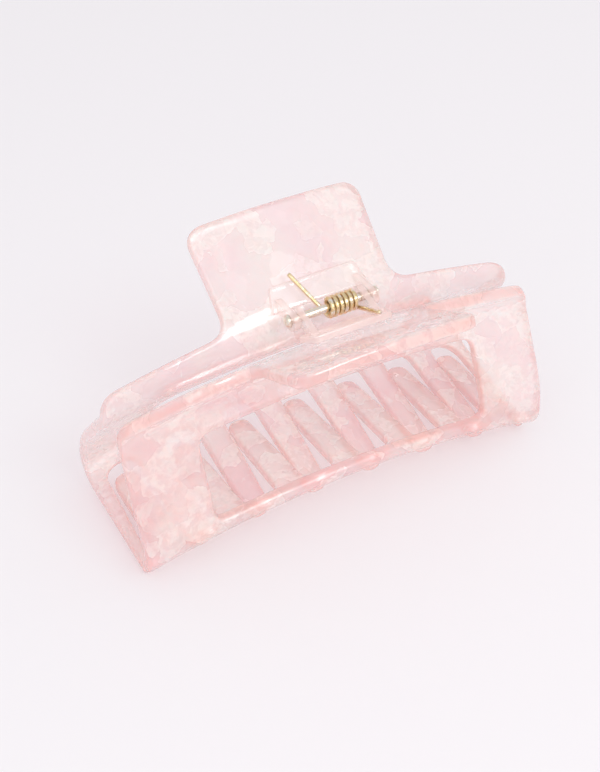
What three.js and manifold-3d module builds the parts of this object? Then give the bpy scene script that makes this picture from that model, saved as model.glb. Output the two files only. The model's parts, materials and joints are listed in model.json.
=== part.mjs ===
// Large claw clip: two heat-bent acetate jaws, each one piece with its finger tab and its row of teeth,
// joined by two clear hinge brackets, a pin and a torsion spring. Millimetres, +Z up, +X along the hinge.
// The rear jaw is on +Y, the front jaw on -Y, and both stand on z = 0.
import * as THREE from "three";
import { mergeVertices } from "three/addons/utils/BufferGeometryUtils.js";
import Module from "manifold-3d";

const wasm = await Module();
wasm.setup();

// Jaws.
const SHEET = 3.2; // thickness of the acetate
const JAW_HALF = 54; // half the length of the clip
const HINGE_Z = 50.35; // the hinge axis above the table
const TAB_HALF = 22.5; // half width of the finger tab at its end
const TAB_ROOT_HALF = 21.5; // and where it joins the body
const TAB_CORNER_R = 4.5;
const TAB_FILLET_R = 5;
const BODY_CORNER_R = 5;
const SHOULDER_DROP = 1.6; // the body's top edge falls this much towards its ends, on the flat sheet
const ARCH = 5.4; // the ends of a jaw hang this much lower than its middle
const LOW_LIFT = 6; // the middle of the toothed floor rides this much higher still
const WINDOW_HALF = 36.4;
const WINDOW_R = 3.2;
const WINDOW_BELOW_WAIST = 4.4; // the window starts this far down the wall
const WINDOW_BELOW_SWELL = 1.2; // and ends this far below the swell
const REAR_BELLY = 3.4; // the rear wall swells this much further out than the front one

// The middle of a jaw's sheet, outwards and up from the hinge axis, with a bend radius at each corner.
const profileOf = (belly) => [
  { y: 27.6, z: 10.6, r: 0 }, // end of the tab
  { y: 2.2, z: -6.9, r: 6 }, // waist under the hinge
  { y: 15.2 + belly, z: -29.5, r: 26 }, // swell of the wall
  { y: 18.4 + belly, z: -42.3, r: 7.5 }, // bend into the toothed floor
  { y: -14, z: -49, r: 0 }, // tips of the teeth
];
const SHOULDER_AT = 0.06; // where the body's top edge lies in the waist bend, as a share of that bend

// Teeth.
const REAR_TEETH = 8;
const FRONT_TEETH = 7;
const PITCH = 15.25;
const TOOTH_ROOT_W = 7; // width of a tooth at its root
const TOOTH_TIP_W = 5.6;
const END_TOOTH_OUT = 53.4; // outer edge of the two end plates
const REAR_SLOT_RISE = 2.2; // the rear jaw's slots reach this far up into the floor's bend
const FRONT_SLOT_RISE = 5.4;
const END_CORNER_RISE = 3.4; // and the front jaw's lower corners lie this far up

// Hinge.
const HINGE_X = 1.5; // the hinge sits a little to the right of the middle of the tabs
const PIN_R = 1;
const BORE_R = 1.06;
const EYE_R = 2.7;
const EAR_W = 1.8;
const REAR_EAR_X = 10.15;
const FRONT_EAR_X = 8.1;
const PLATE_T = 1.8;
const PLATE_TOP = 11.4; // far edge of a bracket's plate, along the tab from the waist corner
const PLATE_LOW = 5.2;
const REAR_PLATE_HALF = 12.6;
const FRONT_PLATE_HALF = 11.4;
const GLUE = 0.3; // bond line between a plate and its tab
const WIRE_R = 0.5;
const COIL_R = 2.05;
const COILS = 6; // whole turns
const COIL_PITCH = 1.2;
const COIL_MID = 2.4; // middle of the coil, from the middle of the hinge
const ARM = 10.8; // length of each spring arm
const ARM_LEAN = 0.05; // the arms lean in until their tips press on the tabs, in radians
const REAR_ARM_SLANT = 0.42; // the rear arm runs this much sideways for each millimetre

// ---- a path of straight lines and arcs in the (y, z) plane ----
function filletPath(corners) {
  const parts = [];
  let from = new THREE.Vector2(corners[0].y, corners[0].z);
  for (let i = 1; i < corners.length - 1; i++) {
    const at = new THREE.Vector2(corners[i].y, corners[i].z);
    const back = new THREE.Vector2(corners[i - 1].y, corners[i - 1].z).sub(at).normalize();
    const on = new THREE.Vector2(corners[i + 1].y, corners[i + 1].z).sub(at).normalize();
    const half = Math.acos(THREE.MathUtils.clamp(back.dot(on), -1, 1)) / 2;
    const r = corners[i].r;
    const start = at.clone().addScaledVector(back, r / Math.tan(half));
    const end = at.clone().addScaledVector(on, r / Math.tan(half));
    const centre = at.clone().addScaledVector(back.clone().add(on).normalize(), r / Math.sin(half));
    parts.push({ line: true, from, to: start, length: from.distanceTo(start) });
    const a0 = Math.atan2(start.y - centre.y, start.x - centre.x);
    let turn = Math.atan2(end.y - centre.y, end.x - centre.x) - a0;
    turn -= 2 * Math.PI * Math.round(turn / (2 * Math.PI));
    parts.push({ line: false, centre, r, a0, turn, length: Math.abs(turn) * r });
    from = end;
  }
  const last = corners[corners.length - 1];
  const to = new THREE.Vector2(last.y, last.z);
  parts.push({ line: true, from, to, length: from.distanceTo(to) });
  let s = 0;
  for (const part of parts) {
    part.s0 = s;
    s += part.length;
  }
  return { parts, length: s };
}

// Point and unit normal of the path at the distance s; the normal is on the tab's upper side, the jaw's inside.
function pathAt(path, s) {
  const clamped = THREE.MathUtils.clamp(s, 0, path.length);
  const part = path.parts.find((p) => clamped <= p.s0 + p.length + 1e-9);
  const t = (clamped - part.s0) / part.length;
  const beyond = s - clamped;
  let point;
  let tangent;
  if (part.line) {
    point = part.from.clone().lerp(part.to, t);
    tangent = part.to.clone().sub(part.from).normalize();
  } else {
    const a = part.a0 + part.turn * t;
    const out = new THREE.Vector2(Math.cos(a), Math.sin(a));
    point = part.centre.clone().addScaledVector(out, part.r);
    tangent = new THREE.Vector2(-out.y, out.x).multiplyScalar(Math.sign(part.turn));
  }
  point.addScaledVector(tangent, beyond);
  return { point, normal: new THREE.Vector2(tangent.y, -tangent.x) };
}

// A jaw's path with the places along it that its outline uses.
function planOf(belly, slotRise) {
  const path = filletPath(profileOf(belly));
  const [, waist, upperWall, swell, , floorBend] = path.parts;
  return {
    path,
    bend: floorBend.s0,
    shoulder: waist.s0 + SHOULDER_AT * waist.length,
    windowTop: upperWall.s0 + WINDOW_BELOW_WAIST,
    windowLow: swell.s0 + swell.length + WINDOW_BELOW_SWELL,
    low: floorBend.s0 + floorBend.length,
    slot: floorBend.s0 + floorBend.length - slotRise, // rounded tops of the slots
    end: path.length,
  };
}

// How far the sheet hangs down at x: fully on the wall, not at all at the tips. The floor also lifts in its middle.
function drop(plan, x, s) {
  const across = (x / JAW_HALF) ** 2;
  const fade = THREE.MathUtils.clamp((plan.end - s) / (plan.end - plan.bend), 0, 1);
  const lift = THREE.MathUtils.smoothstep(s, plan.windowLow, plan.low);
  return ARCH * across * fade - LOW_LIFT * Math.max(0, 1 - across) * lift;
}

// ---- outline of a jaw on the flat sheet: u along the hinge, v = -s ----
function roundedCorners(points) {
  const shape = new THREE.Path();
  points.forEach((p, i) => {
    const a = points[(i + points.length - 1) % points.length];
    const b = points[(i + 1) % points.length];
    const at = new THREE.Vector2(p[0], p[1]);
    const back = new THREE.Vector2(a[0], a[1]).sub(at);
    const on = new THREE.Vector2(b[0], b[1]).sub(at);
    const cosine = back.dot(on) / (back.length() * on.length());
    const half = Math.acos(THREE.MathUtils.clamp(cosine, -1, 1)) / 2;
    const reach = Math.min((p[2] || 0) / Math.tan(half), 0.49 * back.length(), 0.49 * on.length());
    const start = at.clone().addScaledVector(back.normalize(), reach);
    const end = at.clone().addScaledVector(on.normalize(), reach);
    if (i === 0) shape.moveTo(start.x, start.y);
    else shape.lineTo(start.x, start.y);
    if (reach > 0.01) shape.quadraticCurveTo(at.x, at.y, end.x, end.y);
  });
  shape.closePath();
  return shape;
}

// A closed outline's points without the ones that fall on their neighbour.
function distinct(points) {
  return points.filter((p, i) => p.distanceTo(points[(i + 1) % points.length]) > 0.02);
}

function toothCentres(count) {
  return Array.from({ length: count }, (_, i) => (i - (count - 1) / 2) * PITCH);
}

function jawShape(plan, count, endPlates) {
  const top = -plan.shoulder;
  const low = -plan.low;
  const slot = -plan.slot;
  const tip = -plan.end;
  const points = [
    [-TAB_HALF, 0, TAB_CORNER_R],
    [-TAB_ROOT_HALF, top, TAB_FILLET_R],
    [-(JAW_HALF - 0.4), top - SHOULDER_DROP, BODY_CORNER_R],
    [-JAW_HALF, (top + low) / 2, 30],
  ];
  const centres = toothCentres(count);
  const rootHalf = TOOTH_ROOT_W / 2;
  const tipHalf = TOOTH_TIP_W / 2;
  const slotR = (PITCH - TOOTH_ROOT_W) / 2;
  if (!endPlates) points.push([-END_TOOTH_OUT, low + END_CORNER_RISE, 3]);
  centres.forEach((c, i) => {
    const first = endPlates && i === 0;
    const last = endPlates && i === count - 1;
    if (first) points.push([-END_TOOTH_OUT, low, 0]);
    else points.push([c - rootHalf, slot, i === 0 ? 2.5 : slotR]);
    points.push([first ? -END_TOOTH_OUT + 0.6 : c - tipHalf, tip, tipHalf]);
    points.push([last ? END_TOOTH_OUT - 0.6 : c + tipHalf, tip, tipHalf]);
    if (last) points.push([END_TOOTH_OUT, low, 0]);
    else points.push([c + rootHalf, slot, i === count - 1 ? 2.5 : slotR]);
  });
  if (!endPlates) points.push([END_TOOTH_OUT, low + END_CORNER_RISE, 3]);
  points.push([JAW_HALF, (top + low) / 2, 30]);
  points.push([JAW_HALF - 0.4, top - SHOULDER_DROP, BODY_CORNER_R]);
  points.push([TAB_ROOT_HALF, top, TAB_FILLET_R]);
  points.push([TAB_HALF, 0, TAB_CORNER_R]);
  const outline = new THREE.Shape(distinct(roundedCorners(points).getPoints(4)));
  const hole = roundedCorners([
    [-WINDOW_HALF, -plan.windowTop, WINDOW_R],
    [-WINDOW_HALF, -plan.windowLow, WINDOW_R],
    [WINDOW_HALF, -plan.windowLow, WINDOW_R],
    [WINDOW_HALF, -plan.windowTop, WINDOW_R],
  ]);
  outline.holes.push(new THREE.Path(distinct(hole.getPoints(4))));
  return outline;
}

// Cuts every triangle of a soup along the planes axis = level, so that the sheet can bend there.
function sliced(triangles, axis, levels) {
  let soup = triangles;
  for (const level of levels) {
    const next = [];
    for (const tri of soup) {
      const side = tri.map((p) => Math.sign(Math.abs(p[axis] - level) < 1e-5 ? 0 : p[axis] - level));
      if (!(side.includes(1) && side.includes(-1))) {
        next.push(tri);
        continue;
      }
      const above = [];
      const below = [];
      tri.forEach((p, i) => {
        const q = tri[(i + 1) % 3];
        if (side[i] >= 0) above.push(p);
        if (side[i] <= 0) below.push(p);
        if (side[i] * side[(i + 1) % 3] < 0) {
          const [a, b] = p[axis] < q[axis] ? [p, q] : [q, p];
          const t = (level - a[axis]) / (b[axis] - a[axis]);
          const cut = a.map((v, k) => v + t * (b[k] - v));
          above.push(cut);
          below.push(cut);
        }
      });
      for (const poly of [above, below])
        for (let i = 1; i + 1 < poly.length; i++) next.push([poly[0], poly[i], poly[i + 1]]);
    }
    soup = next;
  }
  return soup;
}

function bendLevels(plan) {
  const levels = [];
  for (const part of plan.path.parts) {
    const steps = part.line ? 1 : Math.ceil(Math.abs(part.turn) / (Math.PI / 14));
    for (let i = 0; i <= steps; i++) levels.push(-(part.s0 + (part.length * i) / steps));
  }
  levels.push(-plan.end * TAB_MIDDLE);
  const rounded = new Set(levels.map((v) => Math.round(v * 1e4) / 1e4));
  return [...rounded].filter((v) => v < -1 && v > -plan.end + 1).sort((a, b) => b - a);
}

const TAB_MIDDLE = 0.135; // one more level across the tab, as a share of the path
const X_LEVELS = Array.from({ length: 7 }, (_, i) => (i - 3) * 15);

// ---- booleans ----
function solid(geometry) {
  const bare = new THREE.BufferGeometry();
  bare.setAttribute("position", geometry.getAttribute("position").clone());
  if (geometry.index) bare.setIndex(geometry.index.clone());
  const merged = mergeVertices(bare, 2e-4);
  const index = merged.index.array;
  const triVerts = [];
  for (let i = 0; i < index.length; i += 3) {
    const [a, b, c] = index.slice(i, i + 3);
    if (a !== b && b !== c && c !== a) triVerts.push(a, b, c);
  }
  return new wasm.Manifold(
    new wasm.Mesh({
      numProp: 3,
      vertProperties: Float32Array.from(merged.attributes.position.array),
      triVerts: Uint32Array.from(triVerts),
    }),
  );
}

function geometryOf(made) {
  const mesh = made.getMesh();
  const geometry = new THREE.BufferGeometry();
  geometry.setAttribute("position", new THREE.BufferAttribute(Float32Array.from(mesh.vertProperties), 3));
  geometry.setIndex(new THREE.BufferAttribute(Uint32Array.from(mesh.triVerts), 1));
  return geometry;
}

// Bends the triangles of a flat plate, whose points are (u, v, w) with w through its thickness.
function bent(plan, soup) {
  const out = [];
  for (const tri of soup)
    for (const [u, v, w] of tri) {
      const { point, normal } = pathAt(plan.path, -v);
      out.push(u, point.x + w * normal.x, HINGE_Z + point.y + w * normal.y - drop(plan, u, -v));
    }
  return new THREE.BufferGeometry().setAttribute("position", new THREE.Float32BufferAttribute(out, 3));
}

function soupOf(geometry, place) {
  const position = (geometry.index ? geometry.toNonIndexed() : geometry).getAttribute("position");
  const soup = [];
  for (let i = 0; i < position.count; i += 3) {
    soup.push([0, 1, 2].map((k) => place([0, 1, 2].map((c) => position.getComponent(i + k, c)))));
  }
  return soup;
}

// The whole bent sheet before its outline is cut, as a box with one row of faces for each step of the bends.
function blankSheet(plan) {
  const over = 4;
  const us = [-JAW_HALF - over, ...X_LEVELS, JAW_HALF + over];
  const vs = [-plan.end - over, ...bendLevels(plan).reverse(), over];
  const box = new THREE.BoxGeometry(us.length - 1, vs.length - 1, SHEET, us.length - 1, vs.length - 1, 1);
  const nearest = (list, place) => list[Math.round(place + (list.length - 1) / 2)];
  const place = ([x, y, z]) => [nearest(us, x), nearest(vs, y), z];
  return solid(bent(plan, soupOf(box, place)));
}

// The jaw's outline as a thicker bent plate, which trims the sheet.
function outlineCutter(plan, outline) {
  const half = SHEET / 2 + 0.8;
  const flat = new THREE.ExtrudeGeometry(outline, { depth: 2 * half, bevelEnabled: false });
  flat.translate(0, 0, -half);
  const soup = soupOf(flat, (p) => p.map((c) => Math.round(c * 1e4) / 1e4));
  return solid(bent(plan, sliced(sliced(soup, 1, bendLevels(plan)), 0, X_LEVELS)));
}

function jawGeometry(belly, slotRise, count, endPlates) {
  const plan = planOf(belly, slotRise);
  return geometryOf(blankSheet(plan).intersect(outlineCutter(plan, jawShape(plan, count, endPlates))));
}

// ---- hinge pieces, about the hinge axis ----
const [tabEnd, waistCorner] = profileOf(0).map((p) => new THREE.Vector2(p.y, p.z));
const alongTab = tabEnd.clone().sub(waistCorner).normalize();
const tabNormal = new THREE.Vector2(-alongTab.y, alongTab.x);
const TAB_TILT = Math.atan2(alongTab.y, alongTab.x);

// A point at a distance along the tab from the waist corner and a height over the tab's middle surface.
function onTab(along, height) {
  return waistCorner.clone().addScaledVector(alongTab, along).addScaledVector(tabNormal, height);
}

// A block from x0 to x1 with the given outline in (y, z).
function prism(outline, x0, x1, bevel) {
  const geometry = new THREE.ExtrudeGeometry(outline, {
    depth: x1 - x0 - 2 * bevel,
    bevelEnabled: bevel > 0,
    bevelThickness: bevel,
    bevelSize: bevel,
    bevelOffset: -bevel,
    bevelSegments: 1,
    curveSegments: 10,
  });
  // The outline's plane (x, y) becomes (y, z), and its depth becomes x.
  geometry.applyMatrix4(new THREE.Matrix4().set(0, 0, 1, x0 + bevel, 1, 0, 0, 0, 0, 1, 0, 0, 0, 0, 0, 1));
  return solid(geometry);
}

function bracketGeometry(plateHalf, earX) {
  const face = SHEET / 2 + GLUE;
  const corner = 1.6;
  const plan = new THREE.Shape(
    distinct(
      roundedCorners([
        [-plateHalf, PLATE_LOW, 0.6],
        [plateHalf, PLATE_LOW, 0.6],
        [plateHalf - 1.5, PLATE_TOP, corner],
        [-plateHalf + 1.5, PLATE_TOP, corner],
      ]).getPoints(4),
    ),
  );
  const plate = new THREE.ExtrudeGeometry(plan, {
    depth: PLATE_T - 0.4,
    bevelEnabled: true,
    bevelThickness: 0.2,
    bevelSize: 0.2,
    bevelOffset: -0.2,
    bevelSegments: 1,
  });
  plate.translate(0, 0, face + 0.2);
  const basis = new THREE.Matrix4().set(
    1, 0, 0, 0,
    0, alongTab.x, tabNormal.x, waistCorner.x,
    0, alongTab.y, tabNormal.y, waistCorner.y,
    0, 0, 0, 1,
  );
  plate.applyMatrix4(basis);
  let made = solid(plate);
  // An ear: the eye round the pin, and tangents down to the plate.
  const ear = new THREE.Shape();
  const foot0 = onTab(PLATE_LOW + 0.3, face + PLATE_T / 2);
  const foot1 = onTab(PLATE_TOP - 2.4, face + PLATE_T / 2);
  const steps = 20;
  const a0 = TAB_TILT + Math.PI * 0.56;
  const a1 = TAB_TILT + Math.PI * 1.62;
  ear.moveTo(foot1.x, foot1.y);
  for (let i = 0; i <= steps; i++) {
    const a = a0 + ((a1 - a0) * i) / steps;
    ear.lineTo(EYE_R * Math.cos(a), EYE_R * Math.sin(a));
  }
  ear.lineTo(foot0.x, foot0.y);
  ear.closePath();
  for (const side of [-1, 1]) made = made.add(prism(ear, side * earX - EAR_W / 2, side * earX + EAR_W / 2, 0));
  const bore = new THREE.CylinderGeometry(BORE_R, BORE_R, 2 * plateHalf + 4, 40);
  bore.rotateZ(Math.PI / 2);
  made = made.subtract(solid(bore));
  return geometryOf(made);
}

function pinGeometry() {
  const left = -REAR_EAR_X - EAR_W / 2 - 0.1;
  const right = REAR_EAR_X + EAR_W / 2 + 0.1;
  const profile = [
    [0, left - 1.1],
    [0.7, left - 1],
    [1.3, left - 0.75],
    [1.6, left - 0.35],
    [1.6, left],
    [PIN_R, left],
    [PIN_R, right],
    [1.35, right],
    [1.45, right + 0.35],
    [1.25, right + 0.7],
    [0, right + 0.7],
  ].map(([r, x]) => new THREE.Vector2(r, x));
  const geometry = new THREE.LatheGeometry(profile, 40);
  geometry.rotateZ(-Math.PI / 2);
  return geometry;
}

// The wire's centre line: up the rear tab, round the pin, down along the front tab.
class SpringCurve extends THREE.Curve {
  constructor() {
    super();
    // The coil leaves the pin's underside, so that each arm lies along its tab, just over the bracket's plate.
    this.a0 = TAB_TILT - ARM_LEAN - Math.PI / 2;
    this.turn = 2 * Math.PI * COILS + 2 * (TAB_TILT - ARM_LEAN);
    const half = ((this.turn / (2 * Math.PI)) * COIL_PITCH) / 2;
    this.x0 = COIL_MID - half;
    this.x1 = COIL_MID + half;
    this.coilLength = Math.hypot(this.turn * COIL_R, this.x1 - this.x0);
    this.total = this.coilLength + 2 * ARM;
  }

  // A point on a straight arm that leaves the coil at the angle a, towards the angle "to".
  arm(x, a, to, d, target) {
    return target.set(x, COIL_R * Math.cos(a) + d * Math.cos(to), COIL_R * Math.sin(a) + d * Math.sin(to));
  }

  getPoint(t, target = new THREE.Vector3()) {
    const s = t * this.total;
    const a1 = this.a0 - this.turn;
    if (s < ARM) {
      const d = ARM - s;
      return this.arm(this.x0 - REAR_ARM_SLANT * d, this.a0, this.a0 + Math.PI / 2, d, target);
    }
    if (s > ARM + this.coilLength) {
      return this.arm(this.x1, a1, a1 - Math.PI / 2, s - ARM - this.coilLength, target);
    }
    const k = (s - ARM) / this.coilLength;
    const a = this.a0 - this.turn * k;
    return target.set(this.x0 + (this.x1 - this.x0) * k, COIL_R * Math.cos(a), COIL_R * Math.sin(a));
  }
}

function springGeometry() {
  const curve = new SpringCurve();
  const rings = 132;
  const sides = 8;
  const positions = [];
  const index = [];
  const axis = new THREE.Vector3(1, 0, 0);
  for (let i = 0; i <= rings; i++) {
    const t = i / rings;
    const p = curve.getPoint(t);
    const ahead = curve.getPoint(Math.min(1, t + 1e-4));
    const behind = curve.getPoint(Math.max(0, t - 1e-4));
    const tangent = ahead.sub(behind).normalize();
    const n1 = axis.clone().addScaledVector(tangent, -axis.dot(tangent)).normalize();
    const n2 = new THREE.Vector3().crossVectors(tangent, n1);
    for (let j = 0; j < sides; j++) {
      const a = (2 * Math.PI * j) / sides;
      const q = p.clone().addScaledVector(n1, WIRE_R * Math.cos(a)).addScaledVector(n2, WIRE_R * Math.sin(a));
      positions.push(q.x, q.y, q.z);
    }
  }
  for (let i = 0; i < rings; i++)
    for (let j = 0; j < sides; j++) {
      const a = i * sides + j;
      const b = i * sides + ((j + 1) % sides);
      index.push(a, b, b + sides, a, b + sides, a + sides);
    }
  for (let j = 1; j + 1 < sides; j++) {
    index.push(0, j + 1, j);
    const last = rings * sides;
    index.push(last, last + j, last + j + 1);
  }
  const geometry = new THREE.BufferGeometry();
  geometry.setAttribute("position", new THREE.Float32BufferAttribute(positions, 3));
  geometry.setIndex(index);
  return geometry;
}

// ---- assembly ----
const group = new THREE.Group();
group.name = "claw_clip";

function addMesh(name, geometry, material, toFront) {
  const placed = geometry.clone();
  if (toFront) placed.rotateZ(Math.PI);
  placed.computeVertexNormals();
  const mesh = new THREE.Mesh(placed, material);
  mesh.name = name;
  group.add(mesh);
}

function atHinge(geometry, x) {
  return geometry.clone().translate(x, 0, HINGE_Z);
}

const acetate = () => new THREE.MeshStandardMaterial({ color: 0xf3c9c6, roughness: 0.18, metalness: 0 });
const clear = () => new THREE.MeshStandardMaterial({ color: 0xf4ece6, roughness: 0.1, metalness: 0 });
const gold = () => new THREE.MeshStandardMaterial({ color: 0xc9a86a, roughness: 0.25, metalness: 1 });

addMesh("rear_jaw", jawGeometry(REAR_BELLY, REAR_SLOT_RISE, REAR_TEETH, true), acetate(), false);
addMesh("front_jaw", jawGeometry(0, FRONT_SLOT_RISE, FRONT_TEETH, false), acetate(), true);
addMesh("rear_hinge_bracket", atHinge(bracketGeometry(REAR_PLATE_HALF, REAR_EAR_X), HINGE_X), clear(), false);
addMesh("front_hinge_bracket", atHinge(bracketGeometry(FRONT_PLATE_HALF, FRONT_EAR_X), -HINGE_X), clear(), true);
addMesh("hinge_pin", atHinge(pinGeometry(), HINGE_X), gold(), false);
addMesh("torsion_spring", atHinge(springGeometry(), HINGE_X), gold(), false);

export default group;
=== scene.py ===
"""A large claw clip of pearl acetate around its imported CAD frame.

It has two bent jaws, two clear hinge brackets, a pin and a spring. Lengths are metres in the frame's
own axes: +X along the hinge, +Y towards the rear jaw, +Z up.
"""

import json
import logging
import math
from dataclasses import dataclass, field
from enum import Enum
from typing import Callable, Sequence

import bpy
import numpy as np
from mathutils import Matrix, Vector
from mathutils.geometry import delaunay_2d_cdt


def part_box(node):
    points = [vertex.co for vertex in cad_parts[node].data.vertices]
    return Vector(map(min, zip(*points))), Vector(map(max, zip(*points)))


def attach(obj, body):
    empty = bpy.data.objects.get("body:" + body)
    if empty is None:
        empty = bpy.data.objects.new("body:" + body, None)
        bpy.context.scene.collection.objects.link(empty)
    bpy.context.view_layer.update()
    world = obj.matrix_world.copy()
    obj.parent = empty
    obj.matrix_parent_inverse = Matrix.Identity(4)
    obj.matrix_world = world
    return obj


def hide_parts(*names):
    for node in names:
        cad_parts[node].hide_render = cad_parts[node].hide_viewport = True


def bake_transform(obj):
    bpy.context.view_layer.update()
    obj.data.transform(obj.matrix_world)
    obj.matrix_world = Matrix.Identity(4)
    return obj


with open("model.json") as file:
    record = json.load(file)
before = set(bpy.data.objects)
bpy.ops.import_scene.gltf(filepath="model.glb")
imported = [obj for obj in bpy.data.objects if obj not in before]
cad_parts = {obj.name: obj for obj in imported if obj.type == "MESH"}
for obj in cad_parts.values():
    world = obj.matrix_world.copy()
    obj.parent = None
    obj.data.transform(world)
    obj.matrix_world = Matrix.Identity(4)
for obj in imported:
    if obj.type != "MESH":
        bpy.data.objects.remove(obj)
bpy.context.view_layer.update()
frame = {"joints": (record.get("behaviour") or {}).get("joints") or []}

LOG = logging.getLogger("claw_clip")
MM = 0.001
NUMBER, VECTOR = "NodeSocketFloat", "NodeSocketVector"
Colour = tuple[float, float, float, float]


# ---------------------------------------------------------------- curves and outlines


@dataclass(frozen=True)
class Corner:
    """A corner of an outline: its place and its rounding radius."""

    u: float
    v: float
    radius: float = 0.0


def rounded_ring(corners: Sequence[Corner], step: float) -> np.ndarray:
    """Carries a ring round the corners, evenly spaced.

    A corner is the quadratic curve between the two points that lie radius / tan(half its angle) from it,
    and never past nearly half of a side; the whole ring is then sampled at equal lengths.

    Args:
        corners: the outline's corners in order.
        step: the wanted spacing of the points.

    Returns:
        Points of shape (n, 2), anticlockwise.
    """
    at = np.array([(c.u, c.v) for c in corners])
    radius = np.array([c.radius for c in corners])
    back = np.roll(at, 1, 0) - at
    on = np.roll(at, -1, 0) - at
    back_len = np.linalg.norm(back, axis=1)
    on_len = np.linalg.norm(on, axis=1)
    cosine = np.clip((back * on).sum(1) / (back_len * on_len), -1, 1)
    reach = radius / np.tan(np.arccos(cosine) / 2)
    nearly_half = 0.49
    reach = np.minimum(reach, nearly_half * np.minimum(back_len, on_len))
    start = (at + back * (reach / back_len)[:, None])[:, None]
    end = (at + on * (reach / on_len)[:, None])[:, None]
    steps, fewest = 13, 12
    t = np.linspace(0, 1, steps)[None, :, None]
    curve = (1 - t) ** 2 * start + 2 * t * (1 - t) * at[:, None] + t**2 * end
    points = curve.reshape(-1, 2)
    area = (points[:, 0] * np.roll(points[:, 1], -1) - points[:, 1] * np.roll(points[:, 0], -1)).sum()
    if area < 0:
        points = points[::-1]
    closed = np.vstack([points, points[:1]])
    length = np.concatenate([[0], np.cumsum(np.linalg.norm(np.diff(closed, axis=0), axis=1))])
    count = max(fewest, round(length[-1] / step))
    at_length = np.arange(count) * length[-1] / count
    return np.stack([np.interp(at_length, length, closed[:, k]) for k in (0, 1)], 1)


def inward(ring: np.ndarray) -> np.ndarray:
    """The unit normals on the left of a ring: its tangents, between the neighbours, turned by a quarter."""
    tangent = np.roll(ring, -1, 0) - np.roll(ring, 1, 0)
    tangent /= np.linalg.norm(tangent, axis=1)[:, None]
    return np.stack([-tangent[:, 1], tangent[:, 0]], 1)


def is_inside(points: np.ndarray, rings: Sequence[np.ndarray]) -> np.ndarray:
    """Which points lie in the region: a line from each one to +u crosses the rings an odd number of times."""
    a = np.vstack(rings)
    b = np.vstack([np.roll(r, -1, 0) for r in rings])
    u, v = points[:, 0, None], points[:, 1, None]
    spans = (a[:, 1] > v) != (b[:, 1] > v)
    level = b[:, 1] == a[:, 1]
    rise = np.where(level, 1.0, b[:, 1] - a[:, 1])
    crossing = a[:, 0] + (v - a[:, 1]) / rise * (b[:, 0] - a[:, 0])
    return (spans & (crossing > u)).sum(1) % 2 == 1


class Run(Enum):
    """The runs of a jaw's path that its outline is measured from, by their place in it."""

    WAIST = 1
    WALL = 2
    SWELL = 3
    FLOOR_BEND = 5


@dataclass
class SheetPath:
    """The middle of a bent sheet in the (y, z) plane: straight runs joined by arcs.

    Attributes:
        corners: (y, z, bend radius) for each corner, from the hinge axis.
        starts: the distance along the path at which each run starts.
        runs: the straight runs and arcs, in order.
    """

    corners: Sequence[tuple[float, float, float]]
    starts: list[float] = field(default_factory=list)
    runs: list[dict] = field(default_factory=list)

    def __post_init__(self) -> None:
        """Lays out each straight run and arc: an arc's ends lie radius / tan(half angle) from its corner."""
        at = [np.array(c[:2]) for c in self.corners]
        here = at[0]
        for i in range(1, len(at) - 1):
            back = (at[i - 1] - at[i]) / np.linalg.norm(at[i - 1] - at[i])
            on = (at[i + 1] - at[i]) / np.linalg.norm(at[i + 1] - at[i])
            half = math.acos(float(np.clip(back @ on, -1, 1))) / 2
            radius = self.corners[i][2]
            start = at[i] + back * radius / math.tan(half)
            end = at[i] + on * radius / math.tan(half)
            centre = at[i] + (back + on) / np.linalg.norm(back + on) * radius / math.sin(half)
            first = math.atan2(*(start - centre)[::-1])
            turn = math.remainder(math.atan2(*(end - centre)[::-1]) - first, 2 * math.pi)
            self._add_line(here, start)
            self._add(dict(centre=centre, radius=radius, first=first, turn=turn), abs(turn) * radius)
            here = end
        self._add_line(here, at[-1])

    def _add_line(self, start: np.ndarray, end: np.ndarray) -> None:
        """Adds a straight run."""
        self._add(dict(start=start, end=end), float(np.linalg.norm(end - start)))

    def _add(self, run: dict, length: float) -> None:
        """Adds a run and notes where it starts along the path."""
        before = self.starts[-1] + self.runs[-1]["length"] if self.runs else 0.0
        self.starts.append(before)
        self.runs.append({**run, "length": length})

    @property
    def length(self) -> float:
        """The whole length of the path."""
        return self.starts[-1] + self.runs[-1]["length"]

    def start_of(self, run: Run) -> float:
        """The distance at which a run starts."""
        return self.starts[run.value]

    def end_of(self, run: Run) -> float:
        """The distance at which a run ends."""
        return self.starts[run.value] + self.runs[run.value]["length"]

    def at(self, s: np.ndarray) -> tuple[np.ndarray, np.ndarray]:
        """Points and normals at the distances s.

        A straight run is its start plus its direction times the distance; an arc is its centre plus its
        radius at the angle first + turn * share. Past either end the path goes straight on.

        Args:
            s: distances along the path.

        Returns:
            Points and unit normals on the jaw's inner side, both of shape (n, 2).
        """
        which = np.clip(np.searchsorted(self.starts, s, side="right") - 1, 0, len(self.runs) - 1)
        points = np.zeros((len(s), 2))
        tangents = np.zeros((len(s), 2))
        for i, run in enumerate(self.runs):
            here = which == i
            share = (s[here] - self.starts[i]) / run["length"]
            if "start" in run:
                along = run["end"] - run["start"]
                points[here] = run["start"] + share[:, None] * along
                tangents[here] = along / run["length"]
            else:
                angle = run["first"] + run["turn"] * share
                out = np.stack([np.cos(angle), np.sin(angle)], 1)
                points[here] = run["centre"] + run["radius"] * out
                tangents[here] = np.stack([-out[:, 1], out[:, 0]], 1) * np.sign(run["turn"])
        return points, np.stack([tangents[:, 1], -tangents[:, 0]], 1)


# ---------------------------------------------------------------- closed plates with polished edges


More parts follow.
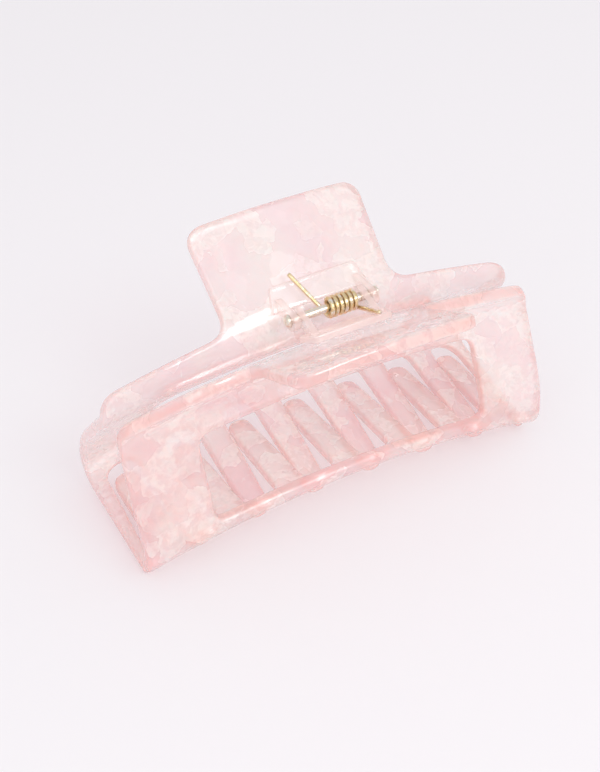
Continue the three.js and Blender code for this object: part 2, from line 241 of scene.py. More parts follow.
@dataclass
class Plate:
    """A flat plate of any outline with rounded edges, as arrays ready to be bent into place.

    Attributes:
        rings: the outer outline first, then the holes, in (u, v).
        half: half the thickness.
        edge: radius of the rounded edge.
        spacing: distance between the points inside a face.
        levels: steps in each quarter of the edge.
    """

    rings: Sequence[np.ndarray]
    half: float
    edge: float
    spacing: float
    levels: int = 4

    def build(self) -> tuple[np.ndarray, list, np.ndarray]:
        """Builds the closed plate.

        The edge is a profile carried along each ring: at the angle a its points lie edge * (1 - cos a) inside
        the ring and half - edge + edge * sin a from the middle. Each face is then filled with triangles
        over an even triangular grid of points.

        Returns:
            Points (n, 3) as (u, v, w), faces, and for each point a value of 1 on the edge and 0 on the faces.
        """
        angle = np.linspace(0, math.pi / 2, self.levels + 1)
        inset = self.edge * (1 - np.cos(angle))
        height = self.half - self.edge + self.edge * np.sin(angle)
        inset = np.concatenate([inset[::-1], inset])
        height = np.concatenate([-height[::-1], height])
        rows = len(inset)
        points, rim, faces, caps = [], [], [], []
        total = 0
        for i, outline in enumerate(self.rings):
            ring = outline if i == 0 else outline[::-1]
            n = len(ring)
            flat = ring[None] + inset[:, None, None] * inward(ring)[None]
            heights = np.broadcast_to(height[:, None, None], (rows, n, 1))
            points.append(np.dstack([flat, heights]).reshape(-1, 3))
            rim.append(np.repeat((1 - inset / self.edge) ** 1.5, n))
            k, j = np.meshgrid(np.arange(rows - 1), np.arange(n), indexing="ij")
            a = total + k * n + j
            b = total + k * n + (j + 1) % n
            faces += np.stack([a, b, b + n, a + n], -1).reshape(-1, 4).tolist()
            caps.append((total + np.arange(n), total + (rows - 1) * n + np.arange(n), flat[-1]))
            total += rows * n
        inner, triangles = self._fill([cap[2] for cap in caps])
        extra = np.arange(len(inner))
        low = np.concatenate([*(cap[0] for cap in caps), total + extra])
        high = np.concatenate([*(cap[1] for cap in caps), total + len(inner) + extra])
        for side in (-self.half, self.half):
            points.append(np.column_stack([inner, np.full(len(inner), side)]))
            rim.append(np.zeros(len(inner)))
        faces += high[triangles].tolist() + low[triangles[:, ::-1]].tolist()
        return np.vstack(points), faces, np.concatenate(rim)

    def _fill(self, rings: list[np.ndarray]) -> tuple[np.ndarray, np.ndarray]:
        """Fills the region between rings with triangles.

        Args:
            rings: the rings of the flat face.

        Returns:
            The added inner points, and triangles that count the rings' points first.
        """
        border = np.vstack(rings)
        low, high = border.min(0), border.max(0)
        row = self.spacing * math.sqrt(3) / 2
        v, u = np.meshgrid(
            np.arange(low[1], high[1], row), np.arange(low[0], high[0], self.spacing), indexing="ij"
        )
        u = u + (np.arange(u.shape[0]) % 2)[:, None] * self.spacing / 2
        grid = np.stack([u.ravel(), v.ravel()], 1)
        grid = grid[is_inside(grid, rings)]
        away = np.array([np.linalg.norm(border - p, axis=1).min() for p in grid])
        closest = 0.6 * self.spacing
        grid = grid[away > closest] if len(grid) else np.zeros((0, 2))
        every = np.vstack([border, grid])
        edges, first = [], 0
        for ring in rings:
            index = first + np.arange(len(ring))
            edges += np.stack([index, np.roll(index, -1)], 1).tolist()
            first += len(ring)
        tolerance = 1e-5
        found = delaunay_2d_cdt([Vector(p / MM) for p in every], edges, [], 0, tolerance)
        _, _, found_faces, origins, *_ = found
        source = np.array([origin[0] for origin in origins])
        triangles = source[np.array(found_faces)]
        middle = every[triangles].mean(1)
        return grid, triangles[is_inside(middle, rings)]


def mesh_piece(name: str, points: np.ndarray, faces: list, finish: bpy.types.Material) -> bpy.types.Object:
    """Makes a smooth piece from arrays.

    Args:
        name: the piece's name.
        points: its points, in metres.
        faces: lists of point numbers.
        finish: its material.

    Returns:
        The new object, at the origin.
    """
    mesh = bpy.data.meshes.new(name)
    mesh.from_pydata(points.tolist(), [], faces)
    mesh.polygons.foreach_set("use_smooth", np.ones(len(mesh.polygons), bool))
    mesh.materials.append(finish)
    mesh.update()
    piece = bpy.data.objects.new(name, mesh)
    bpy.context.scene.collection.objects.link(piece)
    LOG.info("%s: %d points, %d faces", name, len(points), len(faces))
    return piece


def point_values(piece: bpy.types.Object, name: str, values: np.ndarray) -> None:
    """Stores a number or a vector for each point of a piece, for its material to read."""
    kind = "FLOAT" if values.ndim == 1 else "FLOAT_VECTOR"
    attribute = piece.data.attributes.new(name, kind, "POINT")
    attribute.data.foreach_set("value" if values.ndim == 1 else "vector", values.astype(np.float32).ravel())


# ---------------------------------------------------------------- finishes


class Graph:
    """A short way to write a node tree: nodes by type, inputs by name, links by passing a socket."""

    def __init__(self, tree: bpy.types.NodeTree) -> None:
        """Starts an empty tree."""
        self.tree = tree
        tree.nodes.clear()

    def node(self, kind: str, inputs: dict | None = None, **settings: object) -> bpy.types.Node:
        """Adds a node.

        Args:
            kind: the node's type after "ShaderNode", or its whole type.
            inputs: values or sockets by input name or number.
            settings: the node's own properties.

        Returns:
            The node.
        """
        made = self.tree.nodes.new(kind if kind.startswith("Node") else "ShaderNode" + kind)
        for key, value in settings.items():
            setattr(made, key, value)
        for key, value in (inputs or {}).items():
            if isinstance(value, bpy.types.NodeSocket):
                self.tree.links.new(value, made.inputs[key])
            else:
                made.inputs[key].default_value = value
        return made

    def math(self, operation: str, a: object, b: object = 0.0, clamp: bool = False) -> bpy.types.NodeSocket:
        """One arithmetic step."""
        return self.node("Math", {0: a, 1: b}, operation=operation, use_clamp=clamp).outputs[0]

    def scaled(self, value: object, by: object, plus: object) -> bpy.types.NodeSocket:
        """The value times a number, plus another."""
        return self.math("ADD", self.math("MULTIPLY", value, by), plus)

    def vector(self, operation: str, a: object, b: object = (0.0, 0.0, 0.0)) -> bpy.types.NodeSocket:
        """One step of arithmetic on vectors, with a number as b for SCALE."""
        second = "Scale" if operation == "SCALE" else 1
        return self.node("VectorMath", {0: a, second: b}, operation=operation).outputs[0]

    def noise(self, place: object, scale: float, detail: float, roughness: float = 0.5) -> bpy.types.Node:
        """A noise texture: its output 0 is a number and its output Color is three."""
        inputs = {"Vector": place, "Scale": scale, "Detail": detail, "Roughness": roughness}
        return self.node("TexNoise", inputs)

    def bump(self, height: object, strength: float, distance: float, **others) -> bpy.types.NodeSocket:
        """The normal of a fine relief, with a Normal to start from if one is given."""
        inputs = {"Height": height, "Strength": strength, "Distance": distance, **others}
        return self.node("Bump", inputs).outputs[0]

    def marks(self, group: bpy.types.NodeTree, place: object, gloss: float, smear: float) -> bpy.types.Node:
        """The handling group, placed with its own gloss and amount of smears."""
        return self.node("Group", {"Place": place, "Gloss": gloss, "Smear": smear}, node_tree=group)

    def between(self, value: object, low: float, high: float) -> bpy.types.NodeSocket:
        """A smooth step of value from 0 at low to 1 at high."""
        inputs = {"Value": value, "From Min": low, "From Max": high}
        return self.node("MapRange", inputs, interpolation_type="SMOOTHSTEP").outputs[0]

    def mix(self, factor: object, a: object, b: object) -> bpy.types.NodeSocket:
        """A mix of two colours."""
        made = self.node("Mix", data_type="RGBA")
        for key, value in ((0, factor), (6, a), (7, b)):
            if isinstance(value, bpy.types.NodeSocket):
                self.tree.links.new(value, made.inputs[key])
            else:
                made.inputs[key].default_value = value
        return made.outputs[2]


def new_material(name: str) -> tuple[bpy.types.Material, Graph]:
    """Makes an empty material and its graph."""
    material = bpy.data.materials.new(name)
    material.use_nodes = True
    return material, Graph(material.node_tree)


def lets_lamps_through(graph: Graph, surface: bpy.types.NodeSocket, tint: Colour) -> bpy.types.NodeSocket:
    """A surface that tints the light which lamps send through it instead of blocking it.

    Args:
        graph: the material's graph.
        surface: the shader that every other ray sees.
        tint: the share of a lamp's light that one surface lets through.

    Returns:
        The mixed shader.
    """
    from_lamp = graph.node("LightPath").outputs["Is Shadow Ray"]
    through = graph.node("BsdfTransparent", {"Color": tint}).outputs[0]
    return graph.node("MixShader", {0: from_lamp, 1: surface, 2: through}).outputs[0]


def new_group(name: str, inputs: dict[str, str], outputs: dict[str, str]) -> tuple[Graph, dict, dict]:
    """Makes a shader node group.

    Args:
        name: the group's name.
        inputs: socket kinds by name, such as NodeSocketFloat.
        outputs: the same for what it gives out.

    Returns:
        Its graph, its input sockets by name and its output node's inputs by name.
    """
    tree = bpy.data.node_groups.new(name, "ShaderNodeTree")
    for names, way in ((inputs, "INPUT"), (outputs, "OUTPUT")):
        for key, kind in names.items():
            tree.interface.new_socket(name=key, in_out=way, socket_type=kind)
    graph = Graph(tree)
    entry = graph.node("NodeGroupInput")
    leave = graph.node("NodeGroupOutput")
    return graph, {s.name: s for s in entry.outputs if s.name}, {s.name: s for s in leave.inputs if s.name}


def pearl_group() -> bpy.types.NodeTree:
    """Pearl flakes frozen in acetate: angular patches in three sizes, clouds of dye, and the flakes' tilts.

    Noise shakes the place a little, which makes the patches ragged. A patch is each cell whose own random
    value is over the cut. Painted glints are highlights put into the colour as white specks. They are the
    smallest patches, where the grain is at its strongest.

    Returns:
        The group, with one input and four outputs.
    """
    gives = {"Flake": NUMBER, "Cloud": NUMBER, "Glint": NUMBER, "Tilt": VECTOR}
    graph, given, out = new_group("pearl_flakes", {"Place": VECTOR}, gives)
    shaken_by = 5.2 * MM
    wobble = graph.noise(given["Place"], 170.0, 3.0).outputs["Color"]
    shift = graph.vector("SCALE", graph.vector("SUBTRACT", wobble, (0.5, 0.5, 0.5)), shaken_by)
    place = graph.vector("ADD", given["Place"], shift)
    soft_edge = 0.16
    masks, tilts = [], []
    for size, cut in ((8.5 * MM, 0.56), (4.8 * MM, 0.62), (2.2 * MM, 0.80)):
        cell = graph.node("TexVoronoi", {"Vector": place, "Scale": 1 / size, "Randomness": 0.95})
        own_value = graph.node("SeparateColor", {0: cell.outputs["Color"]}).outputs[0]
        masks.append(graph.between(own_value, cut, cut + soft_edge))
        tilts.append(cell.outputs["Color"])
    large, middling, painted_glint_cells = masks
    both = graph.math("MAXIMUM", graph.math("MULTIPLY", large, 0.85), graph.math("MULTIPLY", middling, 0.7))
    streak = graph.noise(place, 330.0, 4.0, 0.6).outputs[0]
    grain = graph.between(streak, 0.40, 0.58)
    cloud = graph.noise(place, 62.0, 3.0).outputs[0]
    results = {
        "Flake": graph.math("MULTIPLY", both, graph.scaled(grain, 0.55, 0.45)),
        "Cloud": graph.between(cloud, 0.36, 0.66),
        # Painted glint: the smallest bright cells, later mixed into the colour as highlights on the flakes.
        "Glint": graph.math("MULTIPLY", painted_glint_cells, graph.between(streak, 0.56, 0.68)),
        "Tilt": graph.vector("SUBTRACT", graph.vector("ADD", tilts[0], tilts[1]), (1.0, 1.0, 1.0)),
    }
    for name, socket in results.items():
        graph.tree.links.new(socket, out[name])
    return graph.tree


def handling_group() -> bpy.types.NodeTree:
    """Faint marks of handling: fine smears that change the gloss a little, and a very shallow waviness."""
    takes = {"Place": VECTOR, "Gloss": NUMBER, "Smear": NUMBER}
    graph, given, out = new_group("handling", takes, {"Roughness": NUMBER, "Wave": NUMBER})
    smear = graph.noise(given["Place"], 210.0, 5.0, 0.65).outputs[0]
    amount = graph.math("MULTIPLY", graph.between(smear, 0.42, 0.72), given["Smear"])
    wave = graph.noise(given["Place"], 75.0, 1.0).outputs[0]
    graph.tree.links.new(graph.math("ADD", given["Gloss"], amount), out["Roughness"])
    graph.tree.links.new(wave, out["Wave"])
    return graph.tree


@dataclass(frozen=True)
class PearlAcetate:
    """Translucent pink acetate with pearl flakes, painted glints that stand for highlights, and deeper colour
    at its polished edges.

    Attributes:
        name: the material's name.
        offset: where the sheet was cut from its sheet stock, so that no two jaws show the same flakes.
        pink: the dye.
        blush: the paler clouds in it.
        pearl: the flakes.
        coral: the dye as it shows at an edge.
        glint: painted highlights, the brightest specks, put into the colour where flakes catch the light.
        through: the share of a lamp's light that each face lets through.
        solid_face: how solid a plain face is.
        solid_flake: the same for a flake.
        solid_edge: the same for an edge.
    """

    name: str
    offset: tuple[float, float, float]
    pink: Colour = (0.92, 0.56, 0.57, 1.0)
    blush: Colour = (0.93, 0.72, 0.66, 1.0)
    pearl: Colour = (0.96, 0.87, 0.82, 1.0)
    coral: Colour = (0.95, 0.42, 0.36, 1.0)
    glint: Colour = (0.99, 0.94, 0.92, 1.0)
    through: Colour = (0.93, 0.88, 0.89, 1.0)
    solid_face: float = 0.26
    solid_flake: float = 0.52
    solid_edge: float = 0.46

    def build(self, pearl: bpy.types.NodeTree, handling: bpy.types.NodeTree) -> bpy.types.Material:
        """Makes the material.

        Args:
            pearl: the flake group.
            handling: the group of handling marks.

        Returns:
            The material.
        """
        material, graph = new_material(self.name)
        flat = graph.node("Attribute", attribute_name="sheet_place").outputs["Vector"]
        rim = graph.node("Attribute", attribute_name="rim").outputs["Fac"]
        place = graph.node("Mapping", {"Vector": flat, "Location": self.offset}).outputs[0]
        flakes = graph.node("Group", {"Place": place}, node_tree=pearl).outputs
        marks = graph.marks(handling, place, gloss=0.16, smear=0.10).outputs
        shader = graph.node(
            "BsdfPrincipled",
            {
                "Base Color": self._colour(graph, flakes, rim),
                "Roughness": marks["Roughness"],
                "Alpha": self._solid(graph, flakes, rim),
                "Normal": self._normal(graph, flakes, marks),
                "IOR": 1.48,
                "Subsurface Weight": 0.55,
                "Subsurface Radius": (1.0, 0.55, 0.5),
                "Subsurface Scale": 2.2 * MM,
                "Coat Weight": 1.0,
                "Coat Roughness": 0.03,
                "Coat IOR": 2.1,
            },
        )
        surface = lets_lamps_through(graph, shader.outputs[0], self.through)
        graph.node("OutputMaterial", {"Surface": surface})
        return material

    def _colour(self, graph: Graph, flakes: object, rim: bpy.types.NodeSocket) -> bpy.types.NodeSocket:
        """Pink with paler clouds, then the flakes, then the painted glints (highlights put in as white
        specks), then coral at the edges, most in the clouds.
        """
        body = graph.mix(flakes["Cloud"], self.pink, self.blush)
        body = graph.mix(flakes["Flake"], body, self.pearl)
        # Painted glint: white specks mixed into the colour stand in for highlights on the flakes.
        body = graph.mix(graph.math("MULTIPLY", flakes["Glint"], 0.7), body, self.glint)
        dyed = graph.scaled(flakes["Cloud"], 0.35, 0.38)
        return graph.mix(graph.math("MULTIPLY", graph.math("POWER", rim, 1.3), dyed), body, self.coral)

    def _solid(self, graph: Graph, flakes: object, rim: bpy.types.NodeSocket) -> bpy.types.NodeSocket:
        """How solid the acetate is: the face's value, with the flakes' and the edges' share added."""
        filled = graph.scaled(flakes["Flake"], self.solid_flake - self.solid_face, self.solid_face)
        edge = graph.math("MULTIPLY", rim, self.solid_edge - self.solid_face)
        return graph.math("ADD", filled, edge, clamp=True)

    def _normal(self, graph: Graph, flakes: object, marks: object) -> bpy.types.NodeSocket:
        """The surface's normal, leant a little by each flake's own tilt, with the waviness over it."""
        normal = graph.node("NewGeometry").outputs["Normal"]
        lean = graph.vector("SCALE", flakes["Tilt"], 0.22)
        leant = graph.vector("NORMALIZE", graph.vector("ADD", normal, lean))
        return graph.bump(marks["Wave"], 0.25, 0.6 * MM, Normal=leant)


@dataclass(frozen=True)
class ClearMoulding:
    """Clear moulded plastic, very slightly warm, with a painted reflection of the pink acetate at its edges.

    Attributes:
        name: the material's name.
        colour: the plastic.
        cloudy: its slightly darker flow marks.
        edge: painted reflection, the acetate's pink that the edges would pick up from the acetate round them.
        through: the share of a lamp's light that each face lets through.
        solid_face: how solid a face is.
        solid_edge: how much more solid an edge is.
    """

    name: str = "clear_moulding"
    colour: Colour = (0.985, 0.93, 0.90, 1.0)
    cloudy: Colour = (0.97, 0.92, 0.89, 1.0)
    edge: Colour = (0.95, 0.66, 0.60, 1.0)
    through: Colour = (0.98, 0.97, 0.965, 1.0)
    solid_face: float = 0.20
    solid_edge: float = 0.30

    def build(self, handling: bpy.types.NodeTree) -> bpy.types.Material:
        """Makes the material.

        Args:
            handling: the group of handling marks.

        Returns:
            The material.
        """
        material, graph = new_material(self.name)
        place = graph.node("TexCoord").outputs["Object"]
        rim = graph.node("Attribute", attribute_name="rim").outputs["Fac"]
        marks = graph.marks(handling, place, gloss=0.03, smear=0.06).outputs
        colour = graph.mix(graph.noise(place, 160.0, 2.0).outputs[0], self.colour, self.cloudy)
        shader = graph.node(
            "BsdfPrincipled",
            {
                # Painted reflection: the pink of the acetate round the bracket, mixed into the colour at the
                # edges.
                "Base Color": graph.mix(graph.math("MULTIPLY", rim, 0.8), colour, self.edge),
                "Roughness": marks["Roughness"],
                "Normal": graph.bump(marks["Wave"], 0.2, 0.4 * MM),
                "Alpha": graph.scaled(rim, self.solid_edge, self.solid_face),
                "IOR": 1.49,
                "Coat Weight": 1.0,
                "Coat Roughness": 0.02,
                "Coat IOR": 2.2,
            },
        )
        surface = lets_lamps_through(graph, shader.outputs[0], self.through)
        graph.node("OutputMaterial", {"Surface": surface})
        return material


class Metal(Enum):
    """The two bright metals of the hinge, as colour and gloss."""

    PIN = ((0.86, 0.78, 0.66, 1.0), 0.16)
    WIRE = ((0.83, 0.66, 0.38, 1.0), 0.20)


@dataclass(frozen=True)
class PlatedMetal:
    """Thin bright plating on drawn metal, with fine marks and paler worn spots.

    Attributes:
        metal: which of the two metals.
        worn: the colour of the worn spots.
    """

    metal: Metal
    worn: Colour = (0.90, 0.85, 0.76, 1.0)

    def build(self, handling: bpy.types.NodeTree) -> bpy.types.Material:
        """Makes the material.

        Args:
            handling: the group of handling marks.

        Returns:
            The material.
        """
        colour, gloss = self.metal.value
        material, graph = new_material("plated_" + self.metal.name.lower())
        place = graph.node("TexCoord").outputs["Object"]
        marks = graph.marks(handling, place, gloss=gloss, smear=0.15).outputs
        wear = graph.noise(place, 900.0, 4.0).outputs[0]
        fine = graph.noise(place, 4200.0, 2.0).outputs[0]
        inputs = {
            "Base Color": graph.mix(graph.between(wear, 0.45, 0.7), colour, self.worn),
            "Roughness": marks["Roughness"],
            "Normal": graph.bump(fine, 0.12, 0.05 * MM),
            "Metallic": 1.0,
        }
        shader = graph.node("BsdfPrincipled", inputs)
        graph.node("OutputMaterial", {"Surface": shader.outputs[0]})
        return material


# ---------------------------------------------------------------- jaws


class Side(Enum):
    """The two jaws: the direction that each one faces away from the hinge, as a sign of Y."""

    REAR = 1
    FRONT = -1


TAB_END = (27.6 * MM, 10.6 * MM)
WAIST = (2.2 * MM, -6.9 * MM)
REAR_BELLY = 3.4 * MM
REAR_SLOT_RISE = 2.2 * MM
FRONT_SLOT_RISE = 5.4 * MM


def jaw_path(belly: float) -> SheetPath:
    """The path of a jaw's sheet, outwards and up from the hinge: tab, waist, swell, floor bend and tips."""
    return SheetPath(
        (
            (*TAB_END, 0.0),
            (*WAIST, 6.0 * MM),
            (15.2 * MM + belly, -29.5 * MM, 26.0 * MM),
            (18.4 * MM + belly, -42.3 * MM, 7.5 * MM),
            (-14.0 * MM, -49.0 * MM, 0.0),
        )
    )


def tab_tilt() -> float:
    """The angle of the tab above the table's plane."""
    return math.atan2(TAB_END[1] - WAIST[1], TAB_END[0] - WAIST[0])


@dataclass
class Jaw:
    """One acetate sheet, cut, bent and tumbled: finger tab, framed wall and toothed floor.

    Attributes:
        side: which way the jaw faces.
        teeth: how many teeth it has.
        end_plates: whether the two outer teeth are plates that reach the ends.
        hinge: the hinge's middle.
        path: the sheet's bent middle line.
        slot_rise: how far the slots reach up into the floor's bend.
        sheet: the thickness of the acetate.
        half_length: half the jaw's length.
        tab_half: half the tab's width at its end.
        tab_root_half: the same where it joins the body.
        arch: how much lower the ends hang than the middle.
        low_lift: how much higher still the floor's middle rides.
        shoulder_at: where the body's top edge lies, as a share of the waist's bend.
        shoulder_drop: how far that edge falls towards its ends.
        window_half: half the window's length.
        window_radius: of the window's corners.
        window_below_waist: where the window starts, from the end of the waist's bend.
        window_below_swell: where it ends, from the end of the swell.
        end_corner_rise: how far up the lower corners lie on a jaw without end plates.
        pitch: the distance between two teeth.
        root_width: a tooth's width at its root.
        tip_width: and at its tip.
        end_out: the outer edge of an end plate.
        edge: the radius of the polished edges.
    """

    side: Side
    teeth: int
    end_plates: bool
    hinge: Vector
    path: SheetPath
    slot_rise: float
    sheet: float = 3.2 * MM
    half_length: float = 54.0 * MM
    tab_half: float = 22.5 * MM
    tab_root_half: float = 21.5 * MM
    arch: float = 5.4 * MM
    low_lift: float = 6.0 * MM
    shoulder_at: float = 0.06
    shoulder_drop: float = 1.6 * MM
    window_half: float = 36.4 * MM
    window_radius: float = 3.2 * MM
    window_below_waist: float = 4.4 * MM
    window_below_swell: float = 1.2 * MM
    end_corner_rise: float = 3.4 * MM
    pitch: float = 15.25 * MM
    root_width: float = 7.0 * MM
    tip_width: float = 5.6 * MM
    end_out: float = 53.4 * MM
    edge: float = 0.95 * MM

    def low(self) -> float:
        """How far down the path the floor's bend ends."""
        return self.path.end_of(Run.FLOOR_BEND)

    def window_low(self) -> float:
        """How far down the path the window ends."""
        return self.path.end_of(Run.SWELL) + self.window_below_swell

    def outline(self) -> list[Corner]:
        """The corners of the sheet before it is bent: u along the hinge, v down the path as minus s."""
        waist = self.path.start_of(Run.WAIST)
        top = -(waist + self.shoulder_at * (self.path.end_of(Run.WAIST) - waist))
        low = -self.low()
        slot = low + self.slot_rise
        tip = -self.path.length
        middle = (top + low) / 2
        body_top = self.half_length - 0.4 * MM
        left = [
            Corner(-self.tab_half, 0, 4.5 * MM),
            Corner(-self.tab_root_half, top, 5 * MM),
            Corner(-body_top, top - self.shoulder_drop, 5 * MM),
            Corner(-self.half_length, middle, 30 * MM),
        ]
        right = [Corner(-c.u, c.v, c.radius) for c in reversed(left)]
        return left + self._teeth(low, slot, tip) + right

    def _teeth(self, low: float, slot: float, tip: float) -> list[Corner]:
        """The lower edge: each tooth narrows to a round tip, and each slot has a round top."""
        slot_radius = (self.pitch - self.root_width) / 2
        tip_radius = self.tip_width / 2
        lower_corner = Corner(-self.end_out, low + self.end_corner_rise, 3 * MM)
        corners = [] if self.end_plates else [lower_corner]
        for i in range(self.teeth):
            centre = (i - (self.teeth - 1) / 2) * self.pitch
            ends = []
            for way in (-1, 1):
                outer = i == (0 if way < 0 else self.teeth - 1)
                if outer and self.end_plates:
                    root = Corner(way * self.end_out, low, 0)
                    point = Corner(way * (self.end_out - 0.6 * MM), tip, tip_radius)
                else:
                    rounding = 2.5 * MM if outer else slot_radius
                    root = Corner(centre + way * self.root_width / 2, slot, rounding)
                    point = Corner(centre + way * self.tip_width / 2, tip, tip_radius)
                ends.append([root, point] if way < 0 else [point, root])
            corners += ends[0] + ends[1]
        if not self.end_plates:
            corners.append(Corner(-lower_corner.u, lower_corner.v, lower_corner.radius))
        return corners

    def window(self) -> list[Corner]:
        """The corners of the window in the wall."""
        top = -(self.path.start_of(Run.WALL) + self.window_below_waist)
        low = -self.window_low()
        across = ((-1, top), (-1, low), (1, low), (1, top))
        return [Corner(u * self.window_half, v, self.window_radius) for u, v in across]

    def bend(self, flat: np.ndarray) -> np.ndarray:
        """Bends flat points (u, v, w) into place.

        The path's point at s = -v, plus w times its normal, gives y and z. Then z falls by
        arch * (u / half length) squared, which fades out along the floor, and the floor's middle rises by
        low lift * (1 - (u / half length) squared), which eases in from the window's lower edge to the floor.
        The front jaw is turned round.

        Args:
            flat: points of shape (n, 3).

        Returns:
            Points in the frame, of shape (n, 3).
        """
        s = -flat[:, 1]
        point, normal = self.path.at(s)
        yz = point + flat[:, 2:] * normal
        across = (flat[:, 0] / self.half_length) ** 2
        bend = self.path.start_of(Run.FLOOR_BEND)
        fade = np.clip((self.path.length - s) / (self.path.length - bend), 0, 1)
        ease = np.clip((s - self.window_low()) / (self.low() - self.window_low()), 0, 1)
        lift = self.low_lift * np.maximum(0, 1 - across) * ease**2 * (3 - 2 * ease)
        drop = self.arch * across * fade - lift
        way = self.side.value
        return np.stack([way * flat[:, 0], way * yz[:, 0], self.hinge.z + yz[:, 1] - drop], 1)

    def build(self, finish: bpy.types.Material) -> bpy.types.Object:
        """Builds the jaw and hides the plain solid that it stands for.

        Args:
            finish: the acetate.

        Returns:
            The piece.
        """
        body = self.side.name.lower()
        rings = [rounded_ring(corners, 0.65 * MM) for corners in (self.outline(), self.window())]
        flat, faces, rim = Plate(rings, self.sheet / 2, self.edge, spacing=1.5 * MM).build()
        piece = mesh_piece(body + "_jaw_sheet", self.bend(flat), faces, finish)
        point_values(piece, "sheet_place", flat)
        point_values(piece, "rim", rim)
        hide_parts(body + "_jaw")
        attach(piece, body)
        return piece


# ---------------------------------------------------------------- hinge


def place_of(origin: tuple[float, float], along: tuple[float, float]) -> Callable[[np.ndarray], np.ndarray]:
    """A map from a plate's (u, v, w) to (x, y, z): v runs along a direction in the (y, z) plane and w off it.

    Args:
        origin: (y, z) of v = w = 0.
        along: the unit direction of v in (y, z).

    Returns:
        The map.
    """
    basis = np.array([[1, 0, 0], [0, along[0], along[1]], [0, -along[1], along[0]]])
    return lambda flat: flat @ basis + np.array([0, *origin])


@dataclass
class Bracket:
    """A clear bracket: a plate glued along the tab's inner side and two ears that hold the pin.

    Attributes:
        side: the jaw that it is glued to.
        hinge: the hinge's middle.
        plate_half: half the plate's width.
        ear_x: how far each ear's middle lies from the hinge's.
        sheet: the thickness of the jaw's sheet.
        glue: the bond line between the two.
        thickness: of the plate.
        ear_width: of each ear, along the pin.
        low: the plate's near edge, along the tab from the waist's corner.
        top: its far edge.
        eye: the outer radius of an ear round the pin.
        bore: the radius of its hole.
    """

    side: Side
    hinge: Vector
    plate_half: float
    ear_x: float
    sheet: float = 3.2 * MM
    glue: float = 0.3 * MM
    thickness: float = 1.8 * MM
    ear_width: float = 1.8 * MM
    low: float = 5.2 * MM
    top: float = 11.4 * MM
    eye: float = 2.7 * MM
    bore: float = 1.06 * MM

    def _along(self) -> tuple[float, float]:
        """The direction up the tab, in (y, z)."""
        return math.cos(tab_tilt()), math.sin(tab_tilt())

    def _origin(self) -> tuple[float, float]:
        """Where the plate's middle surface passes over the waist's corner, in (y, z)."""
        along = self._along()
        over = self.sheet / 2 + self.glue + self.thickness / 2
        return WAIST[0] - along[1] * over, WAIST[1] + along[0] * over

    def _plate(self) -> Plate:
        """The plate that is glued on, a little narrower at its far edge."""
        wide, narrow = self.plate_half, self.plate_half - 1.5 * MM
        corners = [
            Corner(-wide, self.low, 0.6 * MM),
            Corner(wide, self.low, 0.6 * MM),
            Corner(narrow, self.top, 1.6 * MM),
            Corner(-narrow, self.top, 1.6 * MM),
        ]
        ring = rounded_ring(corners, 0.35 * MM)
        return Plate([ring], self.thickness / 2, edge=0.4 * MM, spacing=1.2 * MM, levels=3)

    def _ear(self) -> Plate:
        """An ear: the eye's arc, from just behind the plate round the pin, and two straight sides."""
        origin, along, tilt = self._origin(), self._along(), tab_tilt()
        foot = 0.6 * MM
        far, near = [
            Corner(origin[0] + along[0] * v, origin[1] + along[1] * v, foot)
            for v in (self.top - 2.4 * MM, self.low + 0.3 * MM)
        ]
        over_plate, under_waist = 0.56 * math.pi, 1.62 * math.pi
        angles = np.linspace(tilt + over_plate, tilt + under_waist, 12)
        eye = [Corner(self.eye * math.cos(a), self.eye * math.sin(a), 0.5 * MM) for a in angles]
        ring = rounded_ring([far, *eye, near], 0.3 * MM)
        hole_points = 32
        turn = np.linspace(0, 2 * math.pi, hole_points + 1)[:-1]
        hole = self.bore * np.stack([np.cos(turn), np.sin(turn)], 1)
        return Plate([ring, hole], self.ear_width / 2, edge=0.22 * MM, spacing=0.9 * MM, levels=3)

    def build(self, finish: bpy.types.Material) -> bpy.types.Object:
        """Builds the bracket as a plate and two ears.

        Args:
            finish: the clear plastic.

        Returns:
            The piece.
        """
        body = self.side.name.lower()
        flat, faces, rim = self._plate().build()
        ear, ear_faces, ear_rim = self._ear().build()
        points = [place_of(self._origin(), self._along())(flat)]
        rims = [rim]
        for way in (-1, 1):
            first = sum(len(p) for p in points)
            points.append(np.stack([ear[:, 2] + way * self.ear_x, ear[:, 0], ear[:, 1]], 1))
            faces += [[first + i for i in f] for f in ear_faces]
            rims.append(ear_rim)
        way = self.side.value
        shift = np.array([way * self.hinge.x, 0, 0])
        placed = (np.vstack(points) + shift) * np.array([way, way, 1]) + np.array([0, 0, self.hinge.z])
        piece = mesh_piece(body + "_bracket_moulding", placed, faces, finish)
        point_values(piece, "rim", np.concatenate(rims))
        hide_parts(body + "_hinge_bracket")
        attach(piece, body)
        return piece


